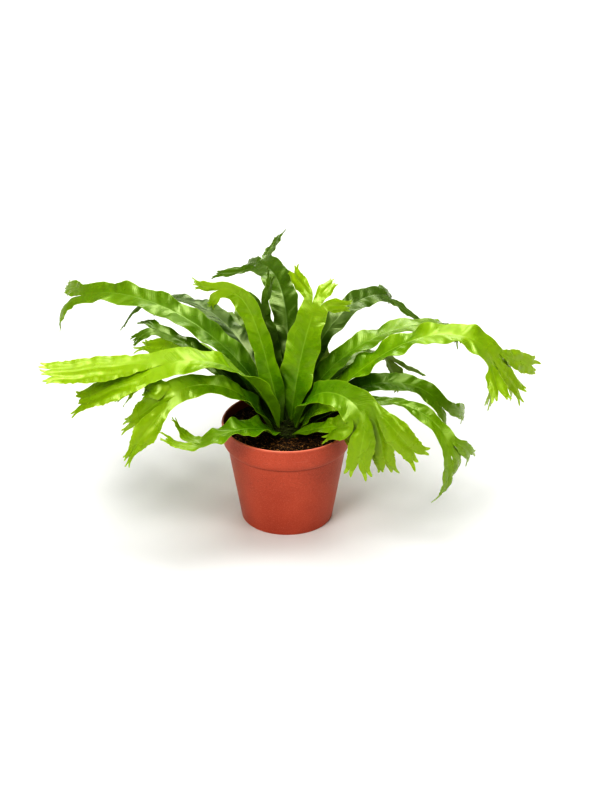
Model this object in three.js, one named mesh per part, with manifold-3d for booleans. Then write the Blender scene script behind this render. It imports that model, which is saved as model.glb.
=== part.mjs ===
// Crested harts tongue fern in a round plastic nursery pot.
// Millimetres, +Z up, origin at the centre of the pot's foot, the fullest view of the
// rosette is from -Y.
//
// Pieces: a thin pot with a rolled collar, one plug of potting soil, a short crown
// (rhizome) and one closed solid for every frond.
import * as THREE from 'three';
import Module from 'manifold-3d';

const wasm = await Module();
wasm.setup();

// ---- pot -------------------------------------------------------------------------
const POT_HEIGHT = 97;
const RIM_RADIUS = 60;
const FOOT_RADIUS = 42;
const COLLAR_HEIGHT = 21.6;
const COLLAR_STEP = 3.4; // how far the collar stands out from the tapered wall
const WALL = 1.6;
const SEGMENTS = 40; // facets round the pot and round the soil
const DRAIN_SLOTS = 8;
const DRAIN_LENGTH = 9;
const DRAIN_WIDTH = 3.6;

// ---- soil and crown --------------------------------------------------------------
const SOIL_LEVEL = 89;
const SOIL_RELIEF = 1.5; // height of the crumbs
const GAP = 0.3; // clearance between separate pieces
const CROWN_RADIUS = 18;
const CROWN_TOP = 6.5; // height of the crown above the soil
const CROWN_FALL = 0.018; // how fast its dome falls away, 1/mm
const CROWN_DEPTH = 11;
const CROWN_SCALES = 12;

// ---- fronds ----------------------------------------------------------------------
const BLADE = 0.8; // thickness of the leaf blade
const RIB = 1.1; // extra thickness of the midrib, under the blade
const RIB_SHARE = 0.085; // half width of the midrib as a share of the blade
const STIPE = 1.8; // half width of the stalk at the crown
const STIPE_DEPTH = 2; // how deep the stalk stands in the crown
const ROW_LENGTH = 13; // spacing of the rows of facets along a blade
const LOBE_ROWS = 4;
const TOOTH_ROWS = 2;
const PATH_STEPS = 160;

// One row for each frond, angles in degrees and lengths in mm.
// ring, seat: radius and direction of its stalk on the crown
// heading, sweep: direction it grows in and how far that turns towards the tip
// rise, droop, bend: steepness at the stalk and at the crest, and how late it bends over
// roll, twist: lean of the blade about its midrib, all along and added towards the crest
// full: share of the length after which the blade has its full width, neck: share of the
// width left below the crest; waves, ruffle, phase: number, height and start of the waves
// lobes, teeth: lobes in the crest and points on each; crest, broad: length and width of
// a lobe; taper: how much narrower it ends; tooth: length of a point; spread, lean: angle
// the crest fans over and where it aims; fall: how far lobes bend down; frill: how
// unevenly; skew: longer lobes on one side
const COMMON = {
  bend: 1.5, full: 0.3, neck: 0.8, waves: 4, ruffle: 2, phase: 0, cup: 22, lobes: 2, teeth: 3, fan: 30,
  fall: 30, frill: 25, lean: 0, skew: 0, roll: 0, twist: 0, tooth: 7, taper: 0.3,
};

const FRONDS = [
  // upright, its tip turning over to the left
  {
    tone: 'young', ring: 4, seat: 175, heading: 140, sweep: 30, rise: 74, droop: -19, bend: 7.2,
    length: 149, width: 20, roll: -74, twist: -7, full: 0.24, neck: 0.75, waves: 3, ruffle: 1.5,
    crest: 16, broad: 10, tooth: 6, spread: 60, lean: 10, fall: 27, seed: 1,
  },
  // upright and broad, beside the first
  {
    tone: 'young', ring: 4, seat: 30, heading: 38, sweep: -9, rise: 81, droop: 66, bend: 1.8,
    length: 115, width: 32, roll: 35, full: 0.4, waves: 2.5, ruffle: 2.2, lobes: 3, teeth: 2,
    crest: 31, broad: 14, tooth: 8, spread: 130, lean: -3, fall: 52, skew: 0.3, taper: 0.2,
    seed: 2,
  },
  // upright, between and behind those two
  {
    tone: 'old', ring: 4, seat: 86, heading: 118, sweep: 17, rise: 63, droop: 80, bend: 1.8,
    length: 111, width: 20, roll: -16, twist: 7, full: 0.32, crest: 25, broad: 11, spread: 80,
    lean: 2, fall: 25, seed: 3,
  },
  // longest, arching far to the left
  {
    tone: 'mid', ring: 9, seat: 151, heading: 162, sweep: -19, rise: 67, droop: -24, bend: 1.15,
    length: 246, width: 25, roll: -19, twist: -9, full: 0.24, neck: 1, waves: 6, crest: 45,
    broad: 17, tooth: 6, spread: 50, lean: -5, fall: 45, seed: 4,
  },
  // under the longest one
  {
    tone: 'old', ring: 9, seat: 185, heading: 168, sweep: -4, rise: 47, droop: 16, bend: 2.6,
    length: 142, width: 20, roll: -9, twist: -2, full: 0.28, crest: 23, broad: 11, spread: 60,
    lean: -2, fall: 44, seed: 5,
  },
  // broad, bending over to the left
  {
    tone: 'young', ring: 9, seat: 218, heading: 208, sweep: -24, rise: 72, droop: -15, bend: 1.5,
    length: 151, width: 31, roll: 23, twist: -60, full: 0.28, neck: 0.9, waves: 3, crest: 89,
    broad: 28, tooth: 11, spread: 10, lean: -1, fall: 2, fan: 34, skew: -0.16, taper: 0.2,
    seed: 287,
  },
  // back, to the left
  {
    tone: 'old', ring: 9, seat: 124, heading: 117, sweep: 23, rise: 43, droop: -17, bend: 1.6,
    length: 194, width: 24, roll: 3, twist: 6, full: 0.24, neck: 1, crest: 41, broad: 16, tooth: 9,
    spread: 70, lean: -4, fall: 42, seed: 23,
  },
  // back, in the middle
  {
    tone: 'old', ring: 9, seat: 96, heading: 79, sweep: 38, rise: 72, droop: -12, bend: 1.7,
    length: 176, width: 26, roll: -18, twist: -3, full: 0.24, neck: 1, waves: 5, lobes: 3,
    teeth: 2, crest: 44, broad: 16, tooth: 9, spread: 90, lean: -2, fall: 20, seed: 22,
  },
  // back, to the right
  {
    tone: 'old', ring: 9, seat: 66, heading: 46, sweep: 1, rise: 71, droop: -21, bend: 1.4,
    length: 172, width: 21, roll: 5, twist: 24, full: 0.24, neck: 1, crest: 39, broad: 16,
    tooth: 9, spread: 70, lean: -10, fall: 31, seed: 21,
  },
  // tall, to the right
  {
    tone: 'mid', ring: 9, seat: 30, heading: 23, sweep: -5, rise: 70, droop: -10, bend: 0.9,
    length: 173, width: 28, roll: 4, twist: -14, full: 0.24, neck: 1.1, crest: 42, broad: 16,
    tooth: 9, spread: 70, lean: -5, fall: 42, seed: 13,
  },
  // long, to the right, with the largest fan
  {
    tone: 'young', ring: 9, seat: 0, heading: 6, sweep: -12, rise: 43, droop: -57, bend: 3.2,
    length: 214, width: 27, roll: 6, twist: 11, full: 0.28, neck: 1.32, waves: 6, ruffle: 2.8,
    lobes: 5, teeth: 2, crest: 47, broad: 22, tooth: 13, spread: 80, lean: 3, fall: 17, frill: 35,
    fan: 31, skew: 0.36, taper: 0.1, seed: 2,
  },
  // front right, its crest falling in all directions
  {
    tone: 'young', ring: 10, seat: -38, heading: -50, sweep: 13, rise: 74, droop: -43, bend: 1.6,
    length: 108, width: 25, roll: 23, twist: 38, full: 0.28, neck: 1.39, waves: 2.5, lobes: 5,
    teeth: 2, crest: 43, broad: 24, tooth: 14, spread: 125, lean: -59, fall: 35, frill: 26,
    fan: 38, skew: 0.6, taper: 0.1, seed: 163,
  },
  // low, to the left, crest hanging
  {
    tone: 'young', ring: 14, seat: 207, heading: 210, sweep: -16, rise: 61, droop: -22, bend: 1.8,
    length: 127, width: 19, roll: -29, twist: -21, full: 0.24, neck: 1.23, waves: 3, lobes: 3,
    teeth: 2, crest: 44, broad: 22, tooth: 10, spread: 50, lean: -2, fall: 27, frill: 32, fan: 22,
    skew: 0.6, taper: 0.6, seed: 267,
  },
  // low, to the left, broad crest
  {
    tone: 'young', ring: 14, seat: 170, heading: 151, sweep: -10, rise: 56, droop: -17, bend: 1.6,
    length: 118, width: 25, roll: -15, twist: 3, full: 0.32, neck: 1.15, waves: 3, lobes: 3,
    teeth: 2, crest: 62, broad: 25, tooth: 10, spread: 100, lean: 45, fall: 27, skew: 0.2,
    taper: 0.35, seed: 8,
  },
  // front left, over the rim of the pot
  {
    tone: 'young', ring: 14, seat: 238, heading: 232, sweep: -35, rise: 34, droop: -22, bend: 1.8,
    length: 92, width: 27, roll: -19, twist: 30, full: 0.24, neck: 0.93, waves: 3, ruffle: 3,
    crest: 32, broad: 14, tooth: 8, spread: 35, lean: -31, fall: -71, frill: 18, fan: 22,
    skew: -0.03, taper: 0.37, seed: 280,
  },
  // young, front right
  {
    tone: 'young', ring: 14, seat: -73, heading: -30, sweep: 3, rise: 26, droop: 2, bend: 2.2,
    length: 73, width: 15, roll: 27, twist: 2, full: 0.32, waves: 2, crest: 6, broad: 5, tooth: 3,
    spread: 40, lean: 4, fall: 28, seed: 10,
  },
  // young, beside it
  {
    tone: 'young', ring: 14, seat: -30, heading: -22, sweep: 1, rise: 65, droop: -4, bend: 1.5,
    length: 64, width: 19, roll: 25, twist: 11, full: 0.32, waves: 2, crest: 3, broad: 7, tooth: 4,
    spread: 60, lean: 1, fall: 35, seed: 11,
  },
  // narrow, low, to the right
  {
    tone: 'mid', ring: 14, seat: -10, heading: -8, sweep: -21, rise: 37, droop: -58, bend: 1.7,
    length: 154, width: 15, roll: -6, twist: 33, full: 0.24, neck: 1.21, waves: 3, lobes: 3,
    teeth: 2, crest: 42, broad: 14, tooth: 11, spread: 60, lean: 10, fall: 67, frill: 29, fan: 31,
    skew: -0.39, taper: 0.13, seed: 10,
  },
  // low, to the right
  {
    tone: 'mid', ring: 14, seat: 13, heading: 5, sweep: -5, rise: 43, droop: -55, bend: 1.7,
    length: 147, width: 22, roll: 8, twist: 28, full: 0.28, neck: 0.91, waves: 2.5, crest: 48,
    broad: 16, tooth: 11, spread: 35, lean: 23, fall: 49, frill: 29, fan: 35, skew: 0.55,
    taper: 0.54, seed: 214,
  },
  // low, back right
  {
    tone: 'mid', ring: 14, seat: 44, heading: 38, sweep: 13, rise: 48, droop: -43, bend: 1.5,
    length: 137, width: 22, roll: 1, twist: -3, full: 0.24, neck: 1, lobes: 3, teeth: 2, crest: 36,
    broad: 16, tooth: 9, spread: 90, fall: 23, seed: 24,
  },
  // low, back
  {
    tone: 'mid', ring: 14, seat: 75, heading: 78, sweep: -9, rise: 40, droop: -58, bend: 2,
    length: 132, width: 22, twist: 2, full: 0.24, neck: 1, lobes: 3, teeth: 2, crest: 33,
    broad: 16, tooth: 9, spread: 88, lean: 1, fall: 11, frill: 30, fan: 26, seed: 44,
  },
  // low, back left
  {
    tone: 'mid', ring: 14, seat: 114, heading: 112, sweep: -12, rise: 38, droop: -9, bend: 1.6,
    length: 147, width: 23, twist: -11, full: 0.24, neck: 1, crest: 34, broad: 16, tooth: 9,
    spread: 80, lean: 1, fall: 28, seed: 26,
  },
  // low, back left
  {
    tone: 'mid', ring: 14, seat: 147, heading: 140, sweep: 9, rise: 43, droop: -40, bend: 1.4,
    length: 144, width: 22, roll: -1, twist: -1, full: 0.24, neck: 1, lobes: 3, teeth: 2,
    crest: 32, broad: 16, tooth: 9, spread: 90, fall: 21, seed: 27,
  },
];

const LEAF_COLORS = { young: 0x9ccf2a, mid: 0x6fae22, old: 0x3f7a1c };

// ---- small helpers ---------------------------------------------------------------
const rad = THREE.MathUtils.degToRad;
const clamp01 = (x) => THREE.MathUtils.clamp(x, 0, 1);
const ease = (x) => Math.sin(Math.PI / 2 * clamp01(x));
const stepUp = (x) => clamp01(x) ** 2 * (3 - 2 * clamp01(x));
const vec = (x, y, z) => new THREE.Vector3(x, y, z);

/** Seeded draw between -1 and 1. */
function draw(i, seed) {
  const s = Math.sin(i * 12.9898 + seed * 78.233) * 43758.5453;
  return 2 * (s - Math.floor(s)) - 1;
}

/** a·cos(angle) + b·sin(angle) */
function mix(a, b, angle) {
  return a.clone().multiplyScalar(Math.cos(angle)).addScaledVector(b, Math.sin(angle));
}

/** Geometry with its coincident points joined, as a manifold solid. */
function toSolid(geometry) {
  const position = geometry.attributes.position;
  const index = geometry.index;
  const count = index ? index.count : position.count;
  const seen = new Map();
  const points = [];
  const lookup = (i) => {
    const p = [position.getX(i), position.getY(i), position.getZ(i)];
    const key = p.map((c) => Math.round(c * 1e4)).join(',');
    if (!seen.has(key)) {
      seen.set(key, points.length / 3);
      points.push(...p);
    }
    return seen.get(key);
  };
  const faces = [];
  for (let i = 0; i < count; i += 3) {
    const [a, b, c] = [0, 1, 2].map((k) => lookup(index ? index.getX(i + k) : i + k));
    if (a !== b && b !== c && c !== a) faces.push(a, b, c);
  }
  return new wasm.Manifold(new wasm.Mesh({
    numProp: 3,
    vertProperties: new Float32Array(points),
    triVerts: new Uint32Array(faces),
  }));
}

/** Manifold solid back to a three.js geometry. */
function toGeometry(solid) {
  const mesh = solid.getMesh();
  const points = new Float32Array(mesh.numVert * 3);
  for (let i = 0; i < mesh.numVert; i += 1) {
    for (let k = 0; k < 3; k += 1) points[3 * i + k] = mesh.vertProperties[i * mesh.numProp + k];
  }
  const geometry = new THREE.BufferGeometry();
  geometry.setAttribute('position', new THREE.BufferAttribute(points, 3));
  geometry.setIndex(new THREE.BufferAttribute(new Uint32Array(mesh.triVerts), 1));
  geometry.computeVertexNormals();
  return geometry;
}

/** Body of revolution about Z from [radius, height] pairs listed from the foot upwards. */
function turned(profile, segments) {
  const points = profile.map(([r, z]) => new THREE.Vector2(r, z));
  return new THREE.LatheGeometry(points, segments).rotateX(Math.PI / 2);
}

const plant = new THREE.Group();
plant.name = 'harts_tongue_fern';

function addPiece(name, geometry, color, roughness) {
  const material = new THREE.MeshStandardMaterial({ color, roughness, metalness: 0 });
  material.name = `${name}_finish`;
  const mesh = new THREE.Mesh(geometry, material);
  mesh.name = name;
  plant.add(mesh);
  return mesh;
}

// ---- pot -------------------------------------------------------------------------
// Tapered wall, a collar that stands out and bulges a little, a thin lip on top of it.
const collarFoot = POT_HEIGHT - COLLAR_HEIGHT;
const collarOuter = RIM_RADIUS - 1.6;
const wallTop = collarOuter - COLLAR_STEP;
const innerTop = wallTop - WALL;
const innerCollar = RIM_RADIUS - WALL - 1;

const potOutline = [
  [0, 0],
  [FOOT_RADIUS - 1, 0],
  [FOOT_RADIUS, 1],
  [wallTop, collarFoot],
  [collarOuter - 1, collarFoot],
  [collarOuter, collarFoot + 1.2],
  [RIM_RADIUS - 0.3, collarFoot + 8],
  [RIM_RADIUS - 0.3, POT_HEIGHT - 2.6],
  [RIM_RADIUS, POT_HEIGHT - 1.6],
  [RIM_RADIUS - 0.6, POT_HEIGHT],
  [RIM_RADIUS - 2, POT_HEIGHT],
  [innerCollar, POT_HEIGHT - 2],
  [innerCollar - 0.8, collarFoot + 4],
  [innerTop, collarFoot - 1],
  [FOOT_RADIUS - WALL, WALL + 0.6],
  [0, WALL + 0.6],
];

let pot = toSolid(turned(potOutline, SEGMENTS));
for (let i = 0; i < DRAIN_SLOTS; i += 1) {
  const slot = new THREE.BoxGeometry(DRAIN_LENGTH, DRAIN_WIDTH, 4 * WALL);
  slot.translate(FOOT_RADIUS - WALL - 3 - DRAIN_LENGTH / 2, 0, 0);
  slot.rotateZ((2 * Math.PI * (i + 0.5)) / DRAIN_SLOTS);
  pot = pot.subtract(toSolid(slot));
}
addPiece('pot', toGeometry(pot), 0xb5452c, 0.55);

// ---- soil ------------------------------------------------------------------------
// One plug that follows the inside of the pot; crumbs on top are low waves of several
// lengths laid over each other. The crown stands in a plain round hole.
function crumbs(x, y) {
  const r = Math.hypot(x, y);
  const edge = clamp01((r - CROWN_RADIUS - 2) / 5);
  const coarse = Math.sin(0.31 * x + 1.1) * Math.sin(0.27 * y + 0.4);
  const medium = Math.sin(0.83 * x - 0.61 * y) * Math.sin(0.74 * y + 0.52 * x + 2);
  const fine = Math.sin(2.3 * x + 1.7 * y) * Math.sin(2.1 * y - 1.4 * x + 1);
  return SOIL_RELIEF * edge * (0.45 * coarse + 0.35 * medium + 0.35 * fine);
}

const soilFoot = WALL + 0.6 + GAP;
const soilShoulder = collarFoot - 1;
const holeRadius = CROWN_RADIUS + 0.6;
const holeFloor = SOIL_LEVEL - CROWN_DEPTH - 2 * GAP;
const slope = (innerCollar - 0.8 - innerTop) / 5;
const soilOutline = [
  [0, soilFoot],
  [FOOT_RADIUS - WALL - 0.8, soilFoot],
  [innerTop - 0.5, soilShoulder],
  [innerTop + 5 * slope - 0.5, soilShoulder + 5.4],
  [innerCollar - 1.1, SOIL_LEVEL],
  ...[52, 46.5, 41, 36, 31, 26, 21.5].map((r) => [r, SOIL_LEVEL]),
  [holeRadius, SOIL_LEVEL - 0.6],
  [holeRadius, holeFloor],
  [0, holeFloor],
];
const soil = turned(soilOutline, SEGMENTS);
const soilPoints = soil.attributes.position;
for (let i = 0; i < soilPoints.count; i += 1) {
  const [x, y, z] = [soilPoints.getX(i), soilPoints.getY(i), soilPoints.getZ(i)];
  const inside = Math.hypot(x, y) < 53 && Math.hypot(x, y) > holeRadius + 1;
  if (inside && z > SOIL_LEVEL - 1) soilPoints.setZ(i, z + crumbs(x, y));
}
addPiece('soil', toGeometry(toSolid(soil)), 0x3a2416, 0.95);

// ---- fronds ----------------------------------------------------------------------
/** Steepness and direction of the midrib at the share u of its length, as axes. */
function midribAxes(f, u) {
  const up = rad(f.rise + (f.droop - f.rise) * u ** f.bend);
  const round = rad(f.heading + f.sweep * u ** 1.5);
  const along = vec(Math.cos(up) * Math.cos(round), Math.cos(up) * Math.sin(round), Math.sin(up));
  const across = vec(-Math.sin(round), Math.cos(round), 0);
  const upper = along.clone().cross(across);
  const lean = rad(f.roll * ease(u / 0.5) + f.twist * u ** 2);
  return { along, across: mix(across, upper, lean), upper: mix(upper, across, -lean) };
}

/** Crown height under a stalk that stands at radius r. */
const crownHeight = (r) => CROWN_TOP - CROWN_FALL * r ** 2;

/** Point and axes of the midrib at rows + 1 even stations. */
function midrib(f, rows) {
  const seat = rad(f.seat);
  const foot = SOIL_LEVEL + crownHeight(f.ring) - STIPE_DEPTH;
  const path = [vec(f.ring * Math.cos(seat), f.ring * Math.sin(seat), foot)];
  const half = f.length / PATH_STEPS / 2;
  let last = midribAxes(f, 0).along;
  for (let k = 1; k <= PATH_STEPS; k += 1) {
    const next = midribAxes(f, k / PATH_STEPS).along;
    path.push(path[k - 1].clone().addScaledVector(last, half).addScaledVector(next, half));
    last = next;
  }
  return Array.from({ length: rows + 1 }, (_, i) => {
    const place = (i / rows) * PATH_STEPS;
    const k = Math.min(Math.floor(place), PATH_STEPS - 1);
    const point = path[k].clone().lerp(path[k + 1], place - k);
    return { point, ...midribAxes(f, i / rows) };
  });
}

/** Places of the columns across a blade, -1 to 1: close beside the midrib, even at the crest. */
function columns(cells, even) {
  const half = cells / 2;
  const side = Array.from({ length: half }, (_, i) => {
    const k = i + 1;
    const beside = 0.09 + 0.91 * (k - 1) / (half - 1);
    return beside * (1 - even) + (k / half) * even;
  });
  return [...side.map((v) => -v).reverse(), 0, ...side];
}

/** Rows of points joined into one branching skin, which thicken() turns into a solid. */
class Skin {
  constructor() {
    this.points = [];
    this.depths = [];
    this.faces = [];
  }

  addRow(points, depths) {
    const first = this.points.length;
    this.points.push(...points);
    this.depths.push(...depths);
    return points.map((_, i) => first + i);
  }

  join(row, next) {
    for (let i = 0; i + 1 < row.length; i += 1) {
      this.faces.push([row[i], next[i], next[i + 1]], [row[i], next[i + 1], row[i + 1]]);
    }
  }

  /** Closed solid: the skin, the same triangles again underneath it, and its edges. */
  thicken() {
    const normals = this.points.map(() => vec(0, 0, 0));
    const edges = new Map();
    for (const [a, b, c] of this.faces) {
      const ab = this.points[b].clone().sub(this.points[a]);
      const ac = this.points[c].clone().sub(this.points[a]);
      const normal = ab.cross(ac);
      for (const i of [a, b, c]) normals[i].add(normal);
      for (const [i, j] of [[a, b], [b, c], [c, a]]) {
        if (!edges.delete(`${j},${i}`)) edges.set(`${i},${j}`, [i, j]);
      }
    }
    const count = this.points.length;
    const below = this.points.map(
      (p, i) => p.clone().addScaledVector(normals[i].normalize(), -this.depths[i]),
    );
    const faces = [];
    for (const [a, b, c] of this.faces) faces.push(a, b, c, c + count, b + count, a + count);
    for (const [i, j] of edges.values()) {
      faces.push(j, i, i + count, j, i + count, j + count);
    }
    const geometry = new THREE.BufferGeometry();
    geometry.setFromPoints([...this.points, ...below]);
    geometry.setIndex(faces);
    geometry.computeVertexNormals();
    return geometry;
  }
}

/** Half width of the blade at the share u of its length. */
function bladeHalf(f, u) {
  const neck = 1 - (1 - f.neck) * ease((u - 0.7) / 0.3) ** 2;
  return (STIPE + (f.width / 2 - STIPE) * ease((u - 0.02) / f.full) ** 1.3) * neck;
}

/** Blade from the stalk to the foot of the crest; returns its last row and axes. */
function growBlade(skin, f) {
  const rows = THREE.MathUtils.clamp(Math.round(f.length / ROW_LENGTH), 7, 18);
  const stations = midrib(f, rows);
  let row = null;
  stations.forEach(({ point, along, across, upper }, i) => {
    const u = i / rows;
    const half = bladeHalf(f, u);
    const fade = ease((u - 0.12) / 0.25) * (1 - ease((u - 0.9) / 0.1));
    const cup = rad(f.cup) * (1 - 0.8 * u);
    const turns = 2 * Math.PI * f.waves;
    const points = [];
    const depths = [];
    for (const v of columns(f.lobes * f.teeth, ease((u - 0.72) / 0.28) ** 2)) {
      const start = f.phase + (v > 0 ? 0 : 2.2);
      const wave = Math.sin(turns * u + start) + 0.4 * Math.sin(1.7 * turns * u + 2 * start + 1);
      const out = half * v * (1 + 0.07 * Math.abs(v) * fade * Math.sin(1.3 * turns * u + 3 * start));
      const lift = Math.abs(out) * Math.sin(cup) + f.ruffle * fade * Math.abs(v) ** 1.5 * wave;
      points.push(point.clone().addScaledVector(across, out * Math.cos(cup)).addScaledVector(upper, lift));
      const rib = clamp01(1 - Math.abs(out) / Math.max(RIB_SHARE * half, 0.9));
      depths.push(BLADE + RIB * (1 - 0.6 * u) * rib);
    }
    const next = skin.addRow(points, depths);
    if (row) skin.join(row, next);
    row = next;
  });
  return { row, half: bladeHalf(f, 1), ...stations[rows] };
}

/**
 * Strip that grows on from part of an earlier row: it turns in its own plane, bends down,
 * rolls about itself and takes its half width from widthAt(t).
 */
function growStrip(skin, base, axes, rows, shape) {
  let row = base;
  const first = skin.points[base[0]];
  const last = skin.points[base[base.length - 1]];
  const point = first.clone().add(last).multiplyScalar(0.5);
  const step = shape.length / rows;
  let frame = axes;
  let width = 0;
  for (let i = 1; i <= rows; i += 1) {
    const t = i / rows;
    const turn = rad(shape.turn) * ease(t / shape.turnBy);
    const fall = rad(shape.fall) * t;
    const flat = mix(axes.along, axes.across, turn);
    const side = mix(axes.across, axes.along, -turn);
    const along = mix(flat, axes.upper, -fall);
    const upper = mix(axes.upper, flat, fall);
    point.addScaledVector(frame.along, step / 2).addScaledVector(along, step / 2);
    const roll = rad(shape.roll) * t;
    frame = { along, across: mix(side, upper, roll), upper: mix(upper, side, -roll) };
    width = shape.widthAt(t);
    const bow = shape.bow * Math.sin(Math.PI * t);
    const points = base.map((_, k) => {
      const v = (2 * k) / (base.length - 1) - 1;
      return point.clone()
        .addScaledVector(frame.across, width * v)
        .addScaledVector(frame.upper, bow * (1 - v ** 2));
    });
    const next = skin.addRow(points, base.map(() => BLADE));
    skin.join(row, next);
    row = next;
  }
  return { row, half: width, ...frame };
}

/** Forked crest: the blade divides into lobes and every lobe ends in pointed teeth. */
function growCrest(skin, f, end) {
  for (let i = 0; i < f.lobes; i += 1) {
    const m = (2 * i + 1) / f.lobes - 1;
    const startWidth = end.half / f.lobes;
    const lobeWidth = f.broad / 2;
    const narrowing = f.taper * (1 + 0.6 * draw(i + 17, f.seed));
    const lobe = growStrip(
      skin,
      end.row.slice(i * f.teeth, (i + 1) * f.teeth + 1),
      end,
      LOBE_ROWS,
      {
        length: f.crest * (1 + 0.2 * draw(i + 1, f.seed) + f.skew * m),
        turn: (f.spread / 2) * m * (f.lobes / Math.max(f.lobes - 1, 1)) + f.lean
          + 8 * draw(i + 2, f.seed),
        turnBy: 0.5,
        fall: f.fall + f.frill * (i % 2 ? 0.5 : -0.5) + 0.5 * f.frill * draw(i + 3, f.seed),
        roll: 0.9 * f.frill * draw(i + 4, f.seed),
        bow: 0.32 * lobeWidth * draw(i + 5, f.seed),
        widthAt: (t) => {
          const grown = stepUp(t / 0.65);
          const full = lobeWidth * (1 - narrowing * stepUp((t - 0.6) / 0.4));
          return startWidth * (1 - 0.2 * ease(t / 0.12)) * (1 - grown) + full * grown;
        },
      },
    );
    for (let k = 0; k < f.teeth; k += 1) {
      const place = 7 * i + k;
      const toothWidth = lobe.half / f.teeth;
      growStrip(skin, lobe.row.slice(k, k + 2), lobe, TOOTH_ROWS, {
        length: f.tooth * (1 + 0.6 * draw(place + 6, f.seed)),
        turn: ((2 * k + 1) / f.teeth - 1) * f.fan + 12 * draw(place + 9, f.seed),
        turnBy: 0.6,
        fall: 0.8 * f.frill * draw(place + 12, f.seed),
        roll: 0,
        bow: 0,
        widthAt: (t) => toothWidth * (1 - t) ** 0.8 + 0.45 * t,
      });
    }
  }
}

// Plain holes in the crown for the stalks, cut with the clearance all round.
const sockets = [];
FRONDS.forEach((row, i) => {
  const f = { ...COMMON, ...row };
  const skin = new Skin();
  growCrest(skin, f, growBlade(skin, f));
  const name = `frond_${String(i + 1).padStart(2, '0')}`;
  addPiece(name, skin.thicken(), LEAF_COLORS[f.tone], 0.42);

  const [foot] = midrib(f, 1);
  const above = STIPE * Math.sin(rad(f.cup)) + GAP + 0.1;
  const below = BLADE + RIB + GAP + 0.2;
  const long = STIPE_DEPTH + 4;
  const wide = 2 * (bladeHalf(f, (STIPE_DEPTH + 3) / f.length) + GAP + 0.15);
  const hole = new THREE.BoxGeometry(long, wide, above + below);
  hole.translate(long / 2 - GAP, 0, (above - below) / 2);
  hole.applyMatrix4(new THREE.Matrix4().makeBasis(foot.along, foot.across, foot.upper));
  hole.translate(foot.point.x, foot.point.y, foot.point.z);
  sockets.push(toSolid(hole));
});

// ---- crown -----------------------------------------------------------------------
// Low woody dome, half sunk in the soil, with a fringe of pointed scales fused to it.
const crownOutline = [
  [0, SOIL_LEVEL - CROWN_DEPTH],
  [CROWN_RADIUS - 2, SOIL_LEVEL - CROWN_DEPTH],
  [CROWN_RADIUS, SOIL_LEVEL - CROWN_DEPTH + 2],
  ...[18, 14, 9.5, 5, 0].map((r) => [r, SOIL_LEVEL + crownHeight(r)]),
];
let crown = toSolid(turned(crownOutline, 24));
for (let i = 0; i < CROWN_SCALES; i += 1) {
  const scale = new THREE.ConeGeometry(2, 6.5, 4).rotateZ(-Math.PI / 2);
  scale.rotateY(rad(-12 - 8 * draw(i, 3)));
  scale.translate(CROWN_RADIUS - 1.2, 0, SOIL_LEVEL + 0.9);
  scale.rotateZ((2 * Math.PI * (i + 0.3 * draw(i, 5))) / CROWN_SCALES);
  crown = crown.add(toSolid(scale));
}
for (const socket of sockets) crown = crown.subtract(socket);
[crown] = crown.decompose().sort((a, b) => b.volume() - a.volume());
addPiece('crown', toGeometry(crown), 0x4a2f1c, 0.9);

export default plant;
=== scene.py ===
import math
import bmesh
import bpy
import numpy as np
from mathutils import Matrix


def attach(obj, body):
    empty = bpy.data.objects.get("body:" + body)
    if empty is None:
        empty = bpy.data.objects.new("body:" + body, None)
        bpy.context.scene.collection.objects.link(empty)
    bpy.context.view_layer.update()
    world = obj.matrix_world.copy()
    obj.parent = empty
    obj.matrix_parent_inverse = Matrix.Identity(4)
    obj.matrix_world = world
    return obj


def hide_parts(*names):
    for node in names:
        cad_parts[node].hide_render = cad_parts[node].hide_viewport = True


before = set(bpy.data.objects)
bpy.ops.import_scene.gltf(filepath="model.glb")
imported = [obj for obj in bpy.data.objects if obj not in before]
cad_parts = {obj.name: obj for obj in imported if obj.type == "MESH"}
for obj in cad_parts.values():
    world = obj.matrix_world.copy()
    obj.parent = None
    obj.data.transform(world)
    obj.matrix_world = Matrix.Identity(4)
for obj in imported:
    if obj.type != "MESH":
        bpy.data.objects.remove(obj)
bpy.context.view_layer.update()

# ---- stand and camera ------------------------------------------------------------
# A pale table top under four window-sized lamps and one wide, soft skylight. The camera
# looks along +Y, a little down on the plant, with its widest fronds across the view.
TABLE_REACH = 6  # metres from the pot to each edge of the table
AIM_HEIGHT = 0.12  # metres: the middle of the plant, where the lamps point

ground = bpy.data.meshes.new("table_top")
table_corners = [(-TABLE_REACH, -TABLE_REACH, 0), (TABLE_REACH, -TABLE_REACH, 0),
                 (TABLE_REACH, TABLE_REACH, 0), (-TABLE_REACH, TABLE_REACH, 0)]
ground.from_pydata(table_corners, [], [(0, 1, 2, 3)])
table_top = bpy.data.objects.new("table_top", ground)
bpy.context.scene.collection.objects.link(table_top)
paper = bpy.data.materials.new("white_paper")
paper.use_nodes = True
paper_face = paper.node_tree.nodes["Principled BSDF"]
paper_face.inputs["Base Color"].default_value = (0.74, 0.74, 0.73, 1)
paper_face.inputs["Roughness"].default_value = 0.9
ground.materials.append(paper)

sky = bpy.data.worlds.new("studio")
sky.use_nodes = True
sky.node_tree.nodes["Background"].inputs["Color"].default_value = (1, 0.995, 0.97, 1)
sky.node_tree.nodes["Background"].inputs["Strength"].default_value = 0.22
bpy.context.scene.world = sky
film = bpy.context.scene.view_settings
film.view_transform = "Standard"
film.look = "Very High Contrast"
film.exposure = -0.25

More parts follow.
